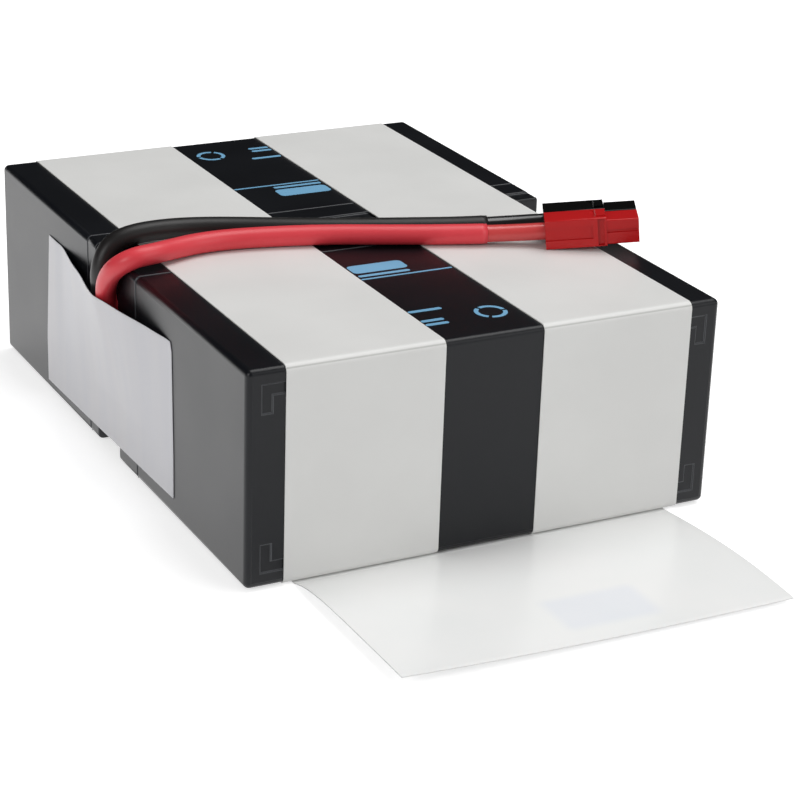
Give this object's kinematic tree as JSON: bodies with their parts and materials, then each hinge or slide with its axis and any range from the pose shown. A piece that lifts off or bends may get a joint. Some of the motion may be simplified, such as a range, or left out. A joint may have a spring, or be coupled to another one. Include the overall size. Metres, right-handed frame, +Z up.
{
  "type": "ups battery cartridge",
  "caption": "Two sealed lead-acid batteries lie lid to lid, held by film bands, with a film pull tab and a red and a black lead that end in single-pole connectors.",
  "frame": {"origin": "middle of the pack's underside, on the resting face of the pull tab", "axes": "+X to the right along the batteries' length, -Y the side where the pull tab comes out, +Z up"},
  "size_m": [0.1657, 0.2686, 0.0775],
  "materials": {
    "battery_case": "fine satin moulded plastic",
    "valve_rubber": "matte",
    "positive_paste": "pasted plate, dark brown",
    "negative_paste": "pasted plate, grey",
    "glass_mat": "white glass fibre mat",
    "lead_metal": "cast lead",
    "tinned_metal": "tin plated",
    "sealing_compound": "poured resin",
    "clear_film": "pale film over the dark case",
    "tab_film": "white film",
    "red_insulation": "smooth",
    "black_insulation": "smooth",
    "red_sleeve": "satin",
    "black_sleeve": "satin",
    "red_housing": "moulded",
    "black_housing": "moulded",
    "spring_steel": "plain"
  },
  "bodies": {
    "root": {"front_container": "battery_case", "front_lid": "battery_case", "front_vent_cover": "battery_case", "front_vent_valves": "valve_rubber", "front_positive_plates": "positive_paste", "front_negative_plates": "negative_paste", "front_separators": "glass_mat", "front_cell_straps": "lead_metal", "front_positive_terminal": "tinned_metal", "front_negative_terminal": "tinned_metal", "front_terminal_seals": "sealing_compound", "rear_container": "battery_case", "rear_lid": "battery_case", "rear_vent_cover": "battery_case", "rear_vent_valves": "valve_rubber", "rear_positive_plates": "positive_paste", "rear_negative_plates": "negative_paste", "rear_separators": "glass_mat", "rear_cell_straps": "lead_metal", "rear_positive_terminal": "tinned_metal", "rear_negative_terminal": "tinned_metal", "rear_terminal_seals": "sealing_compound", "left_band": "clear_film", "right_band": "clear_film", "end_film": "clear_film", "pull_tab": "tab_film", "red_lead": "red_insulation", "black_lead": "black_insulation", "series_link": "black_insulation", "red_sleeve": "red_sleeve", "black_sleeve": "black_sleeve", "red_housing": "red_housing", "black_housing": "black_housing", "red_contact": "tinned_metal", "black_contact": "tinned_metal", "red_contact_spring": "spring_steel", "black_contact_spring": "spring_steel", "black_lead_receptacle": "tinned_metal", "red_lead_receptacle": "tinned_metal", "rear_link_receptacle": "tinned_metal", "front_link_receptacle": "tinned_metal"}
  },
  "joints": []
}
